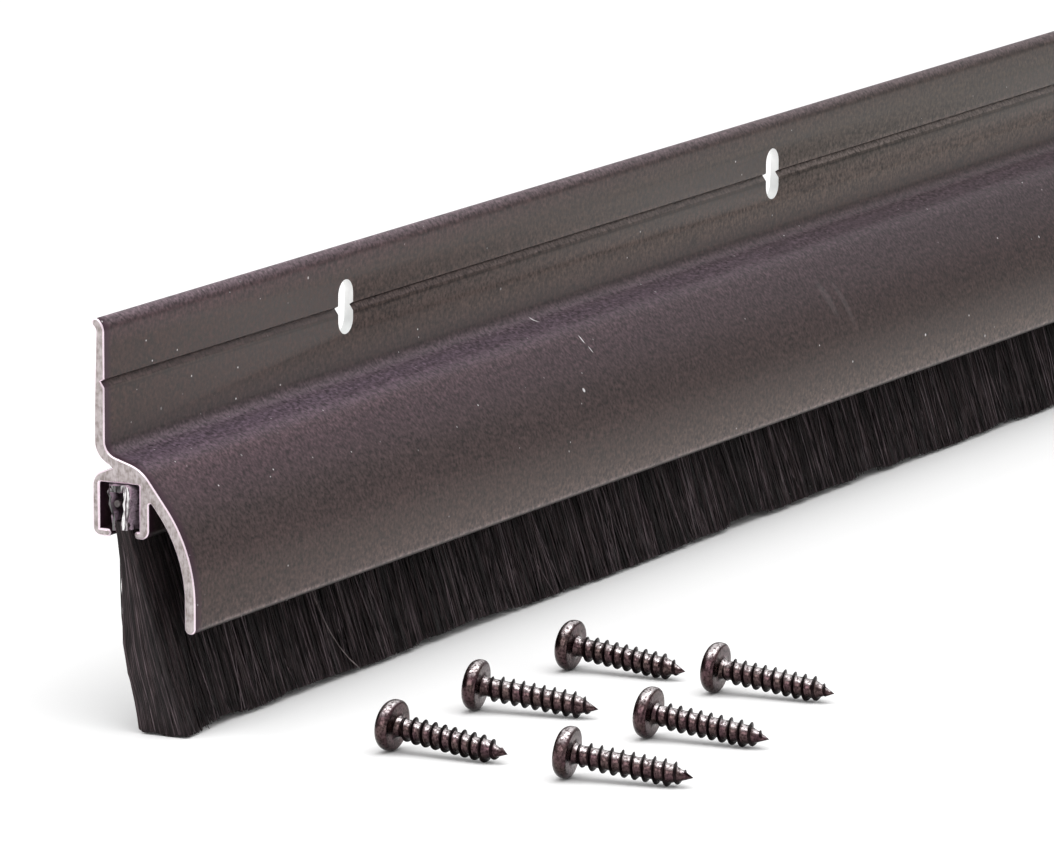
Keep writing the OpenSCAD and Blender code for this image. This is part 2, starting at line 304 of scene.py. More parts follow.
def bronze_anodised():
    """Dark bronze over drawn aluminium: fine grain, faint die lines, a purple cast where it faces up,
    painted highlights and painted shade in bands by height, painted shade where it faces down and just below
    the groove, a dark band beside each sawn end, and bare specks and scratches, most of them near one end."""
    m = Material("bronze_anodised", (0.110, 0.083, 0.078), 0.42, metallic=0.6)
    grain = m.noise((1700, 1700, 1700), 3)
    mottle = m.noise((1100, 1400, 1400), 2)
    drift = m.noise((9, 60, 60), 2)
    lines = m.noise((12, 2400, 2400), 2)
    above = m.math("DIVIDE", m.math("SUBTRACT", m.along("Z"), SLOT_LINE), MM)
    from_end = m.math("SUBTRACT", m.along("X"), NEAR_END)
    near, far = ([(at, colors[i]) for at, *colors in RAIL_TONES_AND_PAINTED_LIGHT] for i in (0, 1))
    # The painted highlights and shade of the tones by height change from the near end's to the rest of the
    # rail's.
    body = m.mix(m.ramp(from_end, 0.03, 0.26), m.bands(above, near), m.bands(above, far))
    # Painted shade: what faces down is darkened.
    body = m.scaled(body, m.ramp(m.facing("Z"), -0.6, -0.15, 0.22, 1.0))
    body = m.scaled(body, m.ramp(drift, 0.3, 0.7, 0.97, 1.03))
    body = m.scaled(body, m.ramp(grain, 0.32, 0.68, 0.4, 1.6))
    body = m.scaled(body, m.ramp(mottle, 0.34, 0.66, 0.82, 1.18))
    body = m.scaled(body, m.ramp(lines, 0.6, 0.8, 1.0, 0.85))
    # Painted shade: a dark line just below the groove.
    painted_groove_shade = m.near(above, -1.4, 0.24)
    body = m.scaled(body, m.math("SUBTRACT", 1.0, m.math("MULTIPLY", painted_groove_shade, 0.4)))
    beside_cut = m.ramp(m.to_end(NEAR_END, FAR_END), 0.0008, 0.0024, 0.9, 0)
    body = m.mix(beside_cut, body, (0.050, 0.018, 0.034))
    crowd = m.ramp(from_end, 0.02, 0.15, 0.5, 0.12)
    bare = m.math("MAXIMUM", m.specks(420, 0.08, crowd), m.specks(170, 0.05, 0.3))
    bare = m.math("MULTIPLY", bare, m.ramp(m.noise((200, 200, 200)), 0.4, 0.6, 0.25, 1.0))
    for (x, u, z), radii, turn, strength in SCRATCHES:
        mark = m.scratch(place(NEAR_END + mm(x), u, z), radii, turn)
        bare = m.math("MAXIMUM", bare, m.math("MULTIPLY", mark, strength))
    m.color(m.mix(bare, body, (0.80, 0.77, 0.78)))
    m.roughness(m.ramp(grain, 0.3, 0.7, 0.36, 0.5))
    m.bump(grain, 0.00003, 0.4)
    return m.data


def sawn_aluminium():
    """The rail's sawn ends: dull, mottled and finely scored."""
    m = Material("sawn_aluminium", (0.42, 0.38, 0.37), 0.5, metallic=0.5)
    teeth = m.noise((900, 4200, 700), 2, turn=(6, 0, 0))
    blotch = m.noise((1300, 1300, 1300), 4)
    body = m.mix(m.ramp(blotch, 0.40, 0.64), (0.44, 0.39, 0.39), (0.27, 0.23, 0.22))
    m.color(m.mix(m.ramp(teeth, 0.5, 0.7, 0, 0.5), body, (0.60, 0.54, 0.56)))
    m.roughness(m.ramp(blotch, 0.3, 0.7, 0.4, 0.6))
    m.bump(teeth, 0.00004, 0.6)
    return m.data


def rim_highlight():
    """The burnished edge that the saw and the punch leave round a cut: bare metal, painted near white as a
    painted highlight.
    """
    m = Material("rim_highlight", (0.90, 0.78, 0.84), 0.3, metallic=0.4)
    m.color(m.mix(m.noise((1500, 1500, 1500), 2), (0.98, 0.84, 0.92), (0.78, 0.62, 0.70)))
    return m.data


def punched_wall():
    """The slots' walls, sheared clean and pale, and greyer towards the foot."""
    m = Material("punched_wall", (0.90, 0.90, 0.89), 0.55)
    rise = m.ramp(m.along("Z"), SLOT_LINE - mm(2.5), SLOT_LINE + mm(2.5))
    body = m.mix(rise, (0.64, 0.65, 0.645), (0.92, 0.92, 0.91))
    m.color(m.scaled(body, m.ramp(m.noise((900, 900, 500), 2), 0.3, 0.7, 0.95, 1.05)))
    return m.data


def crimped_steel():
    """The folded channel: dull zinc, streaked along its length, and painted lighter and purple near its cut
    ends as a painted reflection.
    """
    m = Material("crimped_steel", (0.50, 0.38, 0.46), 0.4, metallic=0.5)
    spangle = m.noise((900, 900, 900), 3)
    smear = m.noise((60, 900, 900), 3)
    plain = m.mix(m.ramp(spangle, 0.3, 0.7), (0.22, 0.215, 0.22), (0.46, 0.45, 0.46))
    # Painted reflection: lighter and purple near the cut ends.
    painted_purple_sheen = m.mix(m.ramp(spangle, 0.3, 0.7), (0.36, 0.26, 0.33), (0.85, 0.68, 0.80))
    body = m.mix(m.ramp(m.to_end(backing_low.x, backing_high.x), 0.007, 0.018), painted_purple_sheen, plain)
    m.color(m.mix(m.ramp(smear, 0.5, 0.68, 0, 0.75), body, (0.12, 0.08, 0.10)))
    m.roughness(m.ramp(smear, 0.3, 0.7, 0.25, 0.5))
    m.bump(smear, 0.00008, 0.7)
    return m.data


def sheared_steel():
    """The channel's cut end, dragged bright and dark down the shear's stroke: brightest on the front leg
    and on the torn back corner."""
    m = Material("sheared_steel", (0.60, 0.57, 0.58), 0.3, metallic=0.7)
    drag = m.noise((900, 2600, 500), 3)
    body = m.mix(m.ramp(drag, 0.42, 0.58), (0.09, 0.07, 0.08), (0.86, 0.84, 0.84))
    front = m.ramp(m.along("Y"), -mm(5.9), -mm(5.2), 1.0, 0.16)
    top = m.ramp(m.along("Z"), backing_high.z - mm(1.1), backing_high.z - mm(0.5))
    corner = m.math("MULTIPLY", m.near(m.along("Y"), -mm(3.3), mm(1.0)), top)
    m.color(m.scaled(body, m.math("MAXIMUM", front, corner)))
    m.roughness(m.ramp(drag, 0.3, 0.7, 0.5, 0.25))
    m.bump(drag, 0.00010, 0.9)
    return m.data


def core_steel():
    m = Material("core_steel", (0.14, 0.13, 0.13), 0.45, metallic=0.8)
    m.color(m.mix(m.noise((800, 2500, 2500), 2), (0.04, 0.035, 0.035), (0.17, 0.15, 0.15)))
    return m.data


def bristle(name, dark, light):
    """One shade of nylon filament, which varies along each filament and between them."""
    m = Material(name, light, 0.5, specular=0.28)
    drift = m.noise((900, 900, 160), 2)
    m.color(m.mix(m.ramp(drift, 0.35, 0.68), dark, light))
    m.roughness(m.ramp(drift, 0.3, 0.7, 0.4, 0.6))
    return m.data


def packed_bristle(name, dark, light):
    """The bristles deep in the brush, seen only as fine streaks between the outer ones."""
    m = Material(name, dark, 0.6, specular=0.15)
    streak = m.noise((3600, 2600, 130), 2)
    m.color(m.mix(m.ramp(streak, 0.4, 0.66), dark, light))
    m.bump(streak, 0.00015, 0.8)
    return m.data


def screw_bronze(name, light, dark, roughness, painted_shine):
    """Bronze plating on steel, brown and purple in patches, with a painted near-white highlight on what
    faces up and painted shade on what faces down.
    """
    m = Material(name, light, roughness, metallic=1.0)
    patch = m.noise((420, 420, 420), 3)
    fine = m.noise((2300, 2300, 2300), 5)
    upward = m.facing("Z")
    purple = tuple(c * tint for c, tint in zip(light, (0.95, 0.78, 0.95)))
    body = m.mix(m.ramp(patch, 0.35, 0.65), light, purple)
    body = m.mix(m.ramp(fine, 0.40, 0.64, 0, 0.8), body, dark)
    # Painted highlight: near white where the surface faces up.
    painted_highlight = m.math("MULTIPLY", m.ramp(upward, 0.45, 0.85, 0, painted_shine), m.ramp(fine, 0.46, 0.6, 1, 0.1))
    body = m.mix(painted_highlight, body, (0.92, 0.86, 0.87))
    # Painted shade: darker where the surface faces down.
    m.color(m.scaled(body, m.ramp(upward, -0.5, 0.4, 0.4, 1.0)))
    m.roughness(m.ramp(fine, 0.3, 0.75, roughness * 0.8, roughness * 1.6))
    m.bump(fine, 0.00005, 0.6)
    return m.data


def pale_floor():
    m = Material("pale_floor", (0.9, 0.9, 0.9), 0.85, specular=0.1)
    m.color(m.mix(m.noise((6, 6, 6), 2), (0.90, 0.90, 0.90), (0.92, 0.92, 0.92)))
    return m.data


# ---- Mesh helpers ----

def mesh_object(name, points, faces, materials, face_materials=None, sharp=None):
    """An object of that mesh, shaded smooth but for the edges over sharp degrees."""
    mesh = bpy.data.meshes.new(name)
    mesh.from_pydata([tuple(p) for p in points], [], faces)
    for material in materials:
        mesh.materials.append(material)
    if face_materials is not None:
        mesh.polygons.foreach_set("material_index", face_materials)
    shade(mesh, sharp)
    return link(name, mesh)


def shade(mesh, sharp):
    mesh.polygons.foreach_set("use_smooth", [True] * len(mesh.polygons))
    if sharp is not None:
        mesh.set_sharp_from_angle(angle=math.radians(sharp))
    mesh.update()


def link(name, mesh):
    piece = bpy.data.objects.new(name, mesh)
    bpy.context.scene.collection.objects.link(piece)
    return piece


def apply_modifiers(piece):
    """Replaces the piece's mesh with what its modifiers make of it."""
    graph = bpy.context.evaluated_depsgraph_get()
    mesh = bpy.data.meshes.new_from_object(piece.evaluated_get(graph))
    piece.modifiers.clear()
    piece.data = mesh


def cut(piece, cutter):
    modifier = piece.modifiers.new("cut", "BOOLEAN")
    modifier.operation = "DIFFERENCE"
    modifier.solver = "EXACT"
    modifier.object = cutter
    apply_modifiers(piece)
    bpy.data.objects.remove(cutter)


def loops_to_faces(rings, around):
    """Faces between successive closed rings of as many points each."""
    faces = []
    for r in range(rings - 1):
        for k in range(around):
            j = (k + 1) % around
            faces.append((r * around + k, r * around + j, (r + 1) * around + j, (r + 1) * around + k))
    return faces


def direction(degrees):
    a = math.radians(degrees)
    return np.array((math.cos(a), math.sin(a)))


ARC_STEP = 3


def arc(centre, radius, start, end):
    n = max(3, math.ceil(abs(end - start) / ARC_STEP))
    return [np.array(centre) + radius * direction(start + (end - start) * i / n) for i in range(n + 1)]


# ---- Rail ----

RAIL_DEPTH, SKIRT_DROP, SKIRT_T = 17.9, 37.8, 1.85
SKIRT_R, SKIRT_FALL = 24, 52
BROW_R, BROW_RUN, BROW_FALL = 6.5, 2.75, 17
COVE_R, COVE_Z = 2.6, -9.1
FLANGE_FACE, FLANGE_T, FOOT_T = 2.1, 1.4, 1.78
LIP_R, LIP_TURN, LIP_Z = 2.6, 50, 7.55
GROOVE_D, GROOVE_UP, GROOVE_DOWN = 0.65, 0.4, 0.95
SLOT_W, SLOT_L = 4.8, 8.75
CHANNEL_W, BACK_WALL, FRONT_WALL = 9.8, 1.2, 1.65
CEILING, CHANNEL_H, KEEP_T = -15.45, 7.25, 1.15
MOUTH_W, MOUTH_MID = 4.15, 5.2
CHANNEL_FOOT = CEILING - CHANNEL_H - KEEP_T
# How far beside a slot its own faces and edges are looked for
SLOT_MARGIN = 0.15


def flange_front():
    lip = (FLANGE_FACE - LIP_R, LIP_Z)
    cap_r = FLANGE_T / 2
    cap = np.array(lip) + (LIP_R - cap_r) * direction(LIP_TURN)
    return (
        arc(cap, cap_r, LIP_TURN + 180, LIP_TURN)
        + arc(lip, LIP_R, LIP_TURN, 0)
        + [(FLANGE_FACE, GROOVE_UP), (FLANGE_FACE - GROOVE_D, 0), (FLANGE_FACE, -GROOVE_DOWN)]
    )


def skirt():
    up = 90 - SKIRT_FALL
    cove = np.array((FLANGE_FACE + COVE_R, COVE_Z))
    brow_start = cove + COVE_R * direction(270 - BROW_FALL) + BROW_RUN * direction(-BROW_FALL)
    brow = brow_start - BROW_R * direction(90 - BROW_FALL)
    brow_end = brow + BROW_R * direction(up)
    top_u = RAIL_DEPTH - SKIRT_R * (1 - math.cos(math.radians(up)))
    run = (top_u - brow_end[0]) / math.cos(math.radians(SKIRT_FALL))
    centre = brow_end + run * direction(-SKIRT_FALL) - SKIRT_R * direction(up)
    inner_r = SKIRT_R - SKIRT_T
    inner_top = centre + inner_r * direction(up)
    crotch_r = 0.3
    crotch_run = (inner_top[0] - CHANNEL_W) / math.cos(math.radians(SKIRT_FALL))
    crotch = inner_top + crotch_run * direction(180 - SKIRT_FALL)
    crotch = crotch + crotch_r / math.sin(math.radians(up / 2)) * direction(-90 + up / 2)
    edge = (RAIL_DEPTH - SKIRT_T / 2, -SKIRT_DROP + SKIRT_T / 2)
    return (
        arc(cove, COVE_R, 180, 270 - BROW_FALL)
        + arc(brow, BROW_R, 90 - BROW_FALL, up)
        + arc(centre, SKIRT_R, up, 0)
        + arc(edge, SKIRT_T / 2, 0, -180)[1:]
        + arc(centre, inner_r, 0, up)[1:]
        + arc(crotch, crotch_r, up, 180)
    )


def channel():
    foot_r, keep_r, inner_r = 1.4, KEEP_T / 2, 0.35
    floor_z, keep_z = CHANNEL_FOOT + KEEP_T, CHANNEL_FOOT + KEEP_T / 2
    front = CHANNEL_W - FRONT_WALL
    return (
        arc((CHANNEL_W - foot_r, CHANNEL_FOOT + foot_r), foot_r, 0, -90)
        + arc((MOUTH_MID + MOUTH_W / 2 + keep_r, keep_z), keep_r, -90, -270)
        + [(front, floor_z)]
        + arc((front - inner_r, CEILING - inner_r), inner_r, 0, 90)
        + arc((BACK_WALL + inner_r, CEILING - inner_r), inner_r, 90, 180)
        + [(BACK_WALL, floor_z)]
        + arc((MOUTH_MID - MOUTH_W / 2 - keep_r, keep_z), keep_r, 90, -90)
        + arc((foot_r, CHANNEL_FOOT + foot_r), foot_r, -90, -180)
    )


def rail_back():
    shoulder_r, shoulder_z, shoulder_rise = 2.5, -16.2, 19
    notch = (3.45, -13.24)
    cove_back_r, cove_back_start, foot_h = 3.92, 250, 4
    foot = FLANGE_FACE - FOOT_T
    return (
        arc((shoulder_r, shoulder_z), shoulder_r, 180, 90 + shoulder_rise)
        + [notch]
        + arc((foot + cove_back_r, COVE_Z), cove_back_r, cove_back_start, 180)
        + [(foot, COVE_Z + foot_h)]
        + arc((FLANGE_FACE - LIP_R, LIP_Z), LIP_R - FLANGE_T, 0, LIP_TURN)
    )


def without_repeats(outline, least=0.01):
    kept = []
    for point in outline:
        if not kept or np.hypot(*(np.array(point) - kept[-1])) > least:
            kept.append(np.array(point, float))
    return np.array(kept)


def shrunk(outline, by):
    """The outline with each point moved inwards by its own distance; the outline runs clockwise."""
    before, after = np.roll(outline, 1, axis=0), np.roll(outline, -1, axis=0)
    way = (outline - before) / np.linalg.norm(outline - before, axis=1)[:, None]
    way = way + (after - outline) / np.linalg.norm(after - outline, axis=1)[:, None]
    way /= np.linalg.norm(way, axis=1)[:, None]
    return outline + by[:, None] * np.stack([way[:, 1], -way[:, 0]], axis=1)


def slot_cutter(centre):
    """A stadium-shaped prism through the flange."""
    radius, half_run, reach, turn_step = SLOT_W / 2, SLOT_L / 2 - SLOT_W / 2, 5, 6
    outline = [(0, half_run) + radius * direction(a) for a in range(0, 181, turn_step)]
    outline += [(0, -half_run) + radius * direction(a) for a in range(180, 361, turn_step)]
    sides = (-mm(reach), mm(reach))
    points = [(centre.x + mm(x), y, centre.z + mm(z)) for y in sides for x, z in outline]
    n = len(outline)
    faces = loops_to_faces(2, n) + [tuple(range(n))[::-1], tuple(range(n, 2 * n))]
    return mesh_object("slot_cutter", points, [f[::-1] for f in faces], [])


def by_slot(point):
    """Whether a point of the rail is in or just beside a slot."""
    reach_x, reach_z = mm(SLOT_W / 2 + SLOT_MARGIN), mm(SLOT_L / 2 + SLOT_MARGIN)
    return any(abs(point.x - s.x) < reach_x and abs(point.z - s.z) < reach_z for s in slots)


def bevel_rims(piece, width):
    """Breaks the sharp edges round the slots."""
    sharp, level = math.radians(60), 0.2
    shape = bmesh.new()
    shape.from_mesh(piece.data)
    rims = []
    for edge in shape.edges:
        middle = (edge.verts[0].co + edge.verts[1].co) / 2
        if by_slot(middle) and len(edge.link_faces) == 2 and edge.calc_face_angle() > sharp:
            walls = [abs(f.normal.y) < level for f in edge.link_faces]
            if sum(walls) == 1:
                rims.append(edge)
    bmesh.ops.bevel(shape, geom=rims, offset=width, segments=2, affect="EDGES", profile=0.5)
    shape.to_mesh(piece.data)
    shape.free()


def rail_finish(face, break_edge):
    """Which material a face has: 0 anodised, 1 sawn, 2 the rim of a sawn end, bare metal with a painted
    highlight, 3 a slot's wall.
    """
    end_on, wall_like = 0.95, 0.4
    c, n = face.center, face.normal
    if min(c.x - NEAR_END, FAR_END - c.x) < break_edge:
        return 1 if abs(n.x) > end_on else 2
    return 3 if by_slot(c) and abs(n.y) < wall_like else 0


def make_rail(bronze, sawn, rim, wall):
    outline = without_repeats(flange_front() + skirt() + channel() + rail_back())
    break_edge, channel_edge, slot_edge = 0.2, 0.34, 0.1
    u, z = outline.T
    below_ceiling, above_floor = z < CEILING - 0.1, z > CHANNEL_FOOT + KEEP_T - 0.01
    in_channel = (u > 1) & (u < CHANNEL_W - 1) & below_ceiling & above_floor
    small = shrunk(outline, np.where(in_channel, channel_edge, break_edge))
    rings = [
        (NEAR_END, small), (NEAR_END + mm(break_edge), outline),
        (FAR_END - mm(break_edge), outline), (FAR_END, small),
    ]
    points = [place(x, u, z) for x, ring in rings for u, z in ring]
    n = len(outline)
    faces = loops_to_faces(len(rings), n) + [tuple(range(n))[::-1], tuple(range(3 * n, 4 * n))]
    rail = mesh_object("rail", points, faces, [bronze, sawn, rim, wall])
    for slot in slots:
        cut(rail, slot_cutter(slot))
    bevel_rims(rail, mm(slot_edge))
    mesh = rail.data
    finishes = [rail_finish(face, mm(break_edge)) for face in mesh.polygons]
    mesh.polygons.foreach_set("material_index", finishes)
    shade(mesh, 32)
    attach(rail, "rail")
    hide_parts("drip_cap_rail")


# ---- Strip brush ----

BACKING_FOOT = height(backing_low.z)
BACKING_TOP = height(backing_high.z)
FAN_H = BACKING_FOOT - height(FLOOR)
BRUSH_HALF = backing_high.x / MM
WIRE_R = 0.6
# How far in from its cut ends the backing is crumpled
CRUMPLE = 7.0
LEG_STEPS = 6


def folded_section(pinch):
    """Points down the middle of the folded sheet, and half its thickness at each. A pinch of 0 leaves it as
    it was folded, and 1 crushes it."""
    def blend(free, crushed):
        return free + (crushed - free) * pinch

    back_top, back_foot = blend(3.05, 3.3), blend(3.2, 4.6)
    front_top, front_foot = blend(7.25, 6.6), blend(7.1, 6.25)
    top, corner = BACKING_TOP - blend(0.32, -0.08), 0.6
    rise = np.linspace(0, 1, LEG_STEPS + 1)
    heights = BACKING_FOOT + (top - corner - BACKING_FOOT) * rise
    back = np.stack([back_foot + (back_top - back_foot) * rise, heights], axis=1)
    front = np.stack([front_foot + (front_top - front_foot) * rise, heights], axis=1)
    over = [
        (back_top + corner * 0.3, top - corner * 0.3), (back_top + corner, top),
        ((back_top + front_top) / 2, top - blend(0, 0.25)),
        (front_top - corner, top), (front_top - corner * 0.3, top - corner * 0.3),
    ]
    half_t = 0.29
    crushed_t = [0.2] * len(back) + [0.5] * len(over) + [0.56] * len(front)
    thick = [blend(half_t, crushed) for crushed in crushed_t]
    return np.concatenate([back, over, front[::-1]]), np.array(thick)


def make_backing(steel, sheared):
    """The folded channel. Its cut ends are pinched and crumpled where it was sheared."""
    dent_sd, crushed_rise, shear_skew = 0.2, 0.55, 0.5
    random = np.random.default_rng(SEED)
    near, far = backing_low.x, backing_high.x
    inset = np.concatenate([np.linspace(0, CRUMPLE, 15), [12, 25, 60]])
    stations = [near + mm(d) for d in inset] + [0.0] + [far - mm(d) for d in inset[::-1]]
    dents = random.normal(0, dent_sd, (len(stations), len(folded_section(0)[0]), 2))
    points = []
    for x, dent in zip(stations, dents):
        deep = min(x - near, far - x) / MM
        pinch = float(1 - smooth(deep / CRUMPLE))
        line, half_t = folded_section(pinch)
        line = line + dent * pinch
        way = np.gradient(line, axis=0)
        way /= np.linalg.norm(way, axis=1)[:, None]
        side = np.stack([-way[:, 1], way[:, 0]], axis=1) * half_t[:, None]
        ring = np.concatenate([line + side, (line - side)[::-1]])
        ring[:, 1] = np.clip(ring[:, 1], BACKING_FOOT, BACKING_TOP + crushed_rise * pinch)
        skew = pinch * shear_skew * (ring[:, 1] - BACKING_FOOT) / (BACKING_TOP - BACKING_FOOT)
        points += [place(x + (mm(s) if x < 0 else -mm(s)), u, z) for (u, z), s in zip(ring, skew)]
    n = len(ring)
    faces = loops_to_faces(len(stations), n)
    kinds = [0] * len(faces)
    half = n // 2
    for ring, flip in ((0, False), (len(stations) - 1, True)):
        for k in range(half - 1):
            face = (ring * n + k, ring * n + k + 1, ring * n + n - 2 - k, ring * n + n - 1 - k)
            faces.append(face[::-1] if flip else face)
            kinds.append(1)
    backing = mesh_object("backing", points, faces, [steel, sheared], kinds, sharp=50)
    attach(backing, "strip_brush")
    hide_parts("brush_backing")


def wire_centre(deep):
    """The core wire's centre, pushed towards the door where the fold is pinched."""
    back, down = 0.6, 0.35
    pinch = float(1 - smooth(deep / CRUMPLE))
    return np.array((MOUTH_MID - back * pinch, height((wire_low.z + wire_high.z) / 2) - down * pinch))


def make_wire(steel):
    recess = mm(0.7)
    near, far = wire_low.x + recess, wire_high.x - recess
    around = 20
    deeps = [0, 0, 0.12, 1.2, 2.4, 3.6, 4.8, 6, 7.5]
    shares = [0.55, 0.85, 1, 1, 1, 1, 1, 1, 1]
    stations = [(near + mm(d), d, s) for d, s in zip(deeps, shares)]
    stations += [(far - mm(d), d, s) for d, s in list(zip(deeps, shares))[::-1]]
    points = []
    for x, deep, share in stations:
        centre = wire_centre(deep)
        turns = [direction(360 * k / around) for k in range(around)]
        points += [place(x, *(centre + WIRE_R * share * turn)) for turn in turns]
    faces = loops_to_faces(len(stations), around)
    faces += [tuple(range(around))[::-1], tuple(range(len(points) - around, len(points)))]
    wire = mesh_object("core_wire_drawn", points, faces, [steel], sharp=40)
    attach(wire, "strip_brush")
    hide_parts("core_wire")


MOUTH_BACK, MOUTH_FRONT = 4.75, 6.85
TIP_FRONT = 17.25


def fan_back(t):
    """Distance out of the brush's back side, from its mouth at t = 0 to its tips at 1."""
    bulge, bulge_reach, flare, flare_start = 1.4, 0.15, 2.7, 0.55
    out = MOUTH_BACK + bulge * (1 - np.exp(-t / bulge_reach))
    return out + flare * smooth((t - flare_start) / (1 - flare_start))


def fan_front(t):
    curve = 1.06
    return MOUTH_FRONT + (TIP_FRONT - MOUTH_FRONT) * np.power(np.maximum(t, 0), curve)


def wavering(x, random, pitch):
    """Smooth noise along x, in mm, from -1 to 1, with a wave about every pitch mm."""
    start, length, spare = -480, 1000, 4
    knots = random.uniform(-1, 1, int(length / pitch) + spare)
    place_in = (x - start) / pitch
    low = np.floor(place_in).astype(int) % (len(knots) - 1)
    share = smooth(place_in - np.floor(place_in))
    return knots[low] * (1 - share) + knots[low + 1] * share


STRAND_STEPS = 8
STRAND_R = 0.078


def strand_tubes(name, lines, radius, shade_of, materials):
    """Three-sided tubes along lines, an array of strands by points by 3 in metres."""
    count, steps = lines.shape[:2]
    sides = 3
    way = np.gradient(lines, axis=1)
    way /= np.linalg.norm(way, axis=2)[:, :, None]
    along_rail = np.zeros_like(way)
    along_rail[:, :, 0] = 1
    second = np.cross(way, along_rail)
    second /= np.linalg.norm(second, axis=2)[:, :, None]
    first = np.cross(second, way)
    scatter = 37
    spin = np.linspace(0, 2 * math.pi, count, endpoint=False) * scatter % (2 * math.pi)
    rings = []
    for k in range(sides):
        a = (spin + 2 * math.pi * k / sides)[:, None, None]
        rings.append(lines + radius[:, :, None] * (np.cos(a) * first + np.sin(a) * second))
    points = np.stack(rings, axis=2).reshape(-1, 3)
    base = (np.arange(count) * steps * sides)[:, None, None, None]
    step = (np.arange(steps - 1) * sides)[None, :, None, None]
    k = np.arange(sides)
    quad = np.stack([k, (k + 1) % sides, (k + 1) % sides + sides, k + sides], axis=1)[None, None]
    quads = (base + step + quad).reshape(-1, 4)
    caps = (np.arange(count) * steps * sides)[:, None] + (steps - 1) * sides + np.arange(sides)[None]
    mesh = bpy.data.meshes.new(name)
    mesh.vertices.add(len(points))
    mesh.vertices.foreach_set("co", points.astype(np.float32).ravel())
    mesh.loops.add(quads.size + caps.size)
    corners = np.concatenate([quads.ravel(), caps.ravel()])
    mesh.loops.foreach_set("vertex_index", corners.astype(np.int32))
    mesh.polygons.add(len(quads) + len(caps))
    starts = np.concatenate([np.arange(len(quads)) * 4, quads.size + np.arange(len(caps)) * 3])
    mesh.polygons.foreach_set("loop_start", starts.astype(np.int32))
    kinds = np.concatenate([np.repeat(shade_of, (steps - 1) * sides), shade_of])
    for material in materials:
        mesh.materials.append(material)
    mesh.polygons.foreach_set("material_index", kinds.astype(np.int32))
    mesh.polygons.foreach_set("use_smooth", np.ones(len(kinds), bool))
    mesh.update(calc_edges=True)
    mesh.validate()
    piece = link(name, mesh)
    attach(piece, "strip_brush")
    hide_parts("bristles")
    return piece


def strand_lines(x, across, loose, random, length_share):
    """The lines of strands that leave the mouth at x (mm) and lie at across, from 0 at the brush's back to
    1 at its front. The loose ones wander far along the rail."""
    in_mouth, end_gap = -0.045, 0.15
    usual, stray, wandering, stray_share = 0.9, 2.6, 6.5, 0.12
    clump_size, clump_pitch, clump_seed = 0.9, 3.1, SEED + 5
    bow_sd, wave_sd, least_turns, most_turns, drift_power = 0.3, 0.24, 0.5, 1.5, 1.4
    count = len(x)
    t = np.linspace(0, 1, STRAND_STEPS)[None, :] * length_share[:, None]
    t = np.concatenate([np.full((count, 1), in_mouth), t], axis=1)
    down = np.clip(t, 0, 1)
    spread = np.where(random.random(count) < stray_share, stray, usual)
    spread[loose] = wandering
    drift = random.normal(0, 1, count) * spread
    clump = clump_size * wavering(x, np.random.default_rng(clump_seed), clump_pitch)
    bow = random.normal(0, bow_sd, count)
    wave = random.normal(0, wave_sd, count)
    turns = random.uniform(least_turns, most_turns, count)
    phase = random.uniform(0, 2 * math.pi, count)
    angle = 2 * math.pi * turns[:, None] * down + phase[:, None]
    swing = wave[:, None] * smooth(3 * down) * np.sin(angle)
    u = fan_back(t) + across[:, None] * (fan_front(t) - fan_back(t))
    u = u + bow[:, None] * np.sin(math.pi * down) + 0.5 * swing
    along = x[:, None] + (drift + clump)[:, None] * np.power(down, drift_power) + swing
    end = BRUSH_HALF - end_gap
    along = np.clip(along, -end, end)
    z = BACKING_FOOT - FAN_H * t
    return np.stack([mm(along), -mm(u), SLOT_LINE + mm(z)], axis=2)


def tip_line(x, across, end, random):
    """How much shorter than the longest each strand is, in mm: clumps, slow waves, and rounded corners."""
    end_face, lump_size, lumps_across = 4, 0.16, 1.7
    corner_r, corner_reach, corner_share, width = 1.3, 2.5, 0.7, 8.4
    least, most, uneven_sd = 0.08, 1.25, 0.07
    from_end = end - np.abs(x)
    ragged = 0.5 + 0.42 * wavering(x, random, 5.5) + 0.32 * wavering(x, random, 26)
    lumps = 0.1 + lump_size * (1 - np.cos(2 * math.pi * lumps_across * across))
    arch = 0.5 * np.abs(2 * across - 1) ** 3
    inset = corner_r - np.minimum(across * width, corner_r)
    corner = (corner_r - np.sqrt(corner_r ** 2 - inset ** 2)) * np.exp(-(from_end / corner_reach) ** 2)
    level = np.where(from_end < end_face, lumps, np.clip(ragged, least, most) + arch)
    return level + corner_share * corner + np.abs(random.normal(0, uneven_sd, len(x)))


def strand_shades(x, across, end, random):
    """0, 1 or 2 for each strand, from dark to light, alike in small locks, and darker in the end faces as
    painted shade.
    """
    lock_size, lock_pitch, lock_depth, tone_sd = 0.8, 0.7, 25, 0.5
    end_shade, end_reach, brown_from, light_from = 0.45, 2, 0.05, 0.78
    lock = lock_size * wavering(x + lock_depth * across, random, lock_pitch)
    # Painted shade: strands near the ends are darkened.
    painted_end_shade = end_shade * np.exp(-((end - np.abs(x)) / end_reach) ** 2)
    tone = lock + random.normal(0, tone_sd, len(x)) - painted_end_shade
    return (tone > brown_from).astype(int) + (tone > light_from)


def stray_hair():
    """The one long hair that curls across the brush's front, not far from the near end."""
    start, drift, bend, proud_by, length_share = 45.9, 6.6, 6, 0.35, 0.965
    t = np.sqrt(np.linspace(0, 1, STRAND_STEPS + 1))
    proud = np.interp(t, (0, 1), (-proud_by, proud_by))
    along = NEAR_END / MM + start + drift * t ** bend
    z = BACKING_FOOT - length_share * FAN_H * t
    return np.stack([mm(along), -mm(fan_front(t) + proud), SLOT_LINE + mm(z)], axis=1)[None]


